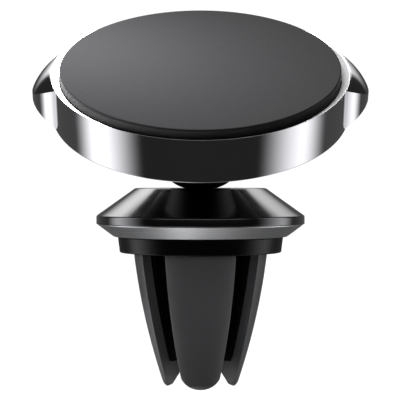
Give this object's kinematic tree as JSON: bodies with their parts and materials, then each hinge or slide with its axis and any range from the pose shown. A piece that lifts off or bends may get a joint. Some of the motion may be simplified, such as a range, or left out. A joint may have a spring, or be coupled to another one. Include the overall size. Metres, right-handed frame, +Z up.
{
  "type": "magnetic vent phone mount",
  "caption": "Magnetic phone mount for a car air vent: a round magnetic head on a ball stud, a cone lock nut and a clip of sprung prongs.",
  "frame": {"origin": "on the clip's axis at the underside of the collar, where the vent blades stop", "axes": "+Z up along the clip's axis from the prongs towards the head; the head leans towards -Y"},
  "size_m": [0.0472, 0.0451, 0.0557],
  "materials": {
    "soft_pad": "matte, fine grain",
    "adhesive": "matte",
    "ring_metal": "polished dark chrome",
    "tray_plastic": "matte black",
    "magnet_nickel": "nickel plated",
    "yoke_steel": "zinc plated",
    "cover_plastic": "satin black",
    "screw_steel": "black zinc",
    "stud_metal": "black, satin",
    "ball_metal": "black nickel",
    "seat_plastic": "matte",
    "nut_gloss": "high gloss gunmetal black",
    "trim_metal": "brushed round the axis",
    "hub_plastic": "matte black",
    "collar_plastic": "satin black",
    "finger_plastic": "matte black",
    "sleeve_rubber": "matte dark grey"
  },
  "bodies": {
    "clip": {"socket_hub": "hub_plastic", "collar": "collar_plastic"},
    "seat": {"ball_seat": "seat_plastic"},
    "ball": {"ball": "ball_metal"},
    "head": {"neck_stud": "stud_metal", "stud_screw": "screw_steel", "back_cover": "cover_plastic", "cover_screws": "screw_steel", "yoke_plate": "yoke_steel", "magnet_tray": "tray_plastic", "magnets": "magnet_nickel", "head_ring": "ring_metal", "pad_adhesive": "adhesive", "face_pad": "soft_pad"},
    "thrust": {"thrust_ring": "seat_plastic"},
    "nut": {"lock_nut": "nut_gloss", "nut_trim": "trim_metal"},
    "prong_front": {"finger_front": "finger_plastic", "sleeve_front": "sleeve_rubber"},
    "prong_right": {"finger_right": "finger_plastic", "sleeve_right": "sleeve_rubber"},
    "prong_back": {"finger_back": "finger_plastic", "sleeve_back": "sleeve_rubber"},
    "prong_left": {"finger_left": "finger_plastic", "sleeve_left": "sleeve_rubber"}
  },
  "joints": [
    {"name": "ball_turn", "type": "hinge", "parent": "clip", "child": "seat", "pos_m": [0, 0, 0.005], "axis": [0, 0, 1], "continuous": true},
    {"name": "ball_tilt", "type": "hinge", "parent": "seat", "child": "ball", "pos_m": [0, 0, 0.005], "axis": [1, 0, 0], "range_deg": [-60, 1.5]},
    {"name": "head_spin", "type": "hinge", "parent": "ball", "child": "head", "pos_m": [0, 0, 0.005], "axis": [0, -0.4879, 0.8729], "continuous": true},
    {"name": "thrust_lift", "type": "slide", "parent": "clip", "child": "thrust", "axis": [0, 0, 1], "range_m": [0, 0.0006]},
    {"name": "nut_turn", "type": "hinge", "parent": "thrust", "child": "nut", "pos_m": [0, 0, 0.005], "axis": [0, 0, 1], "range_deg": [0, 180.5]},
    {"name": "prong_front_flex", "type": "hinge", "parent": "clip", "child": "prong_front", "pos_m": [0, -0.0082, 0.0001], "axis": [-1, 0, 0], "range_deg": [-1, 4], "stiffness_Nm_per_rad": 0.15},
    {"name": "prong_right_flex", "type": "hinge", "parent": "clip", "child": "prong_right", "pos_m": [0.0082, 0, 0.0001], "axis": [0, -1, 0], "range_deg": [-1, 4], "stiffness_Nm_per_rad": 0.15},
    {"name": "prong_back_flex", "type": "hinge", "parent": "clip", "child": "prong_back", "pos_m": [0, 0.0082, 0.0001], "axis": [1, 0, 0], "range_deg": [-1, 4], "stiffness_Nm_per_rad": 0.15},
    {"name": "prong_left_flex", "type": "hinge", "parent": "clip", "child": "prong_left", "pos_m": [-0.0082, 0, 0.0001], "axis": [0, 1, 0], "range_deg": [-1, 4], "stiffness_Nm_per_rad": 0.15}
  ],
  "couplings": [
    {"joint": "nut_turn", "follows": "thrust_lift", "rad_per_m": 5236}
  ]
}
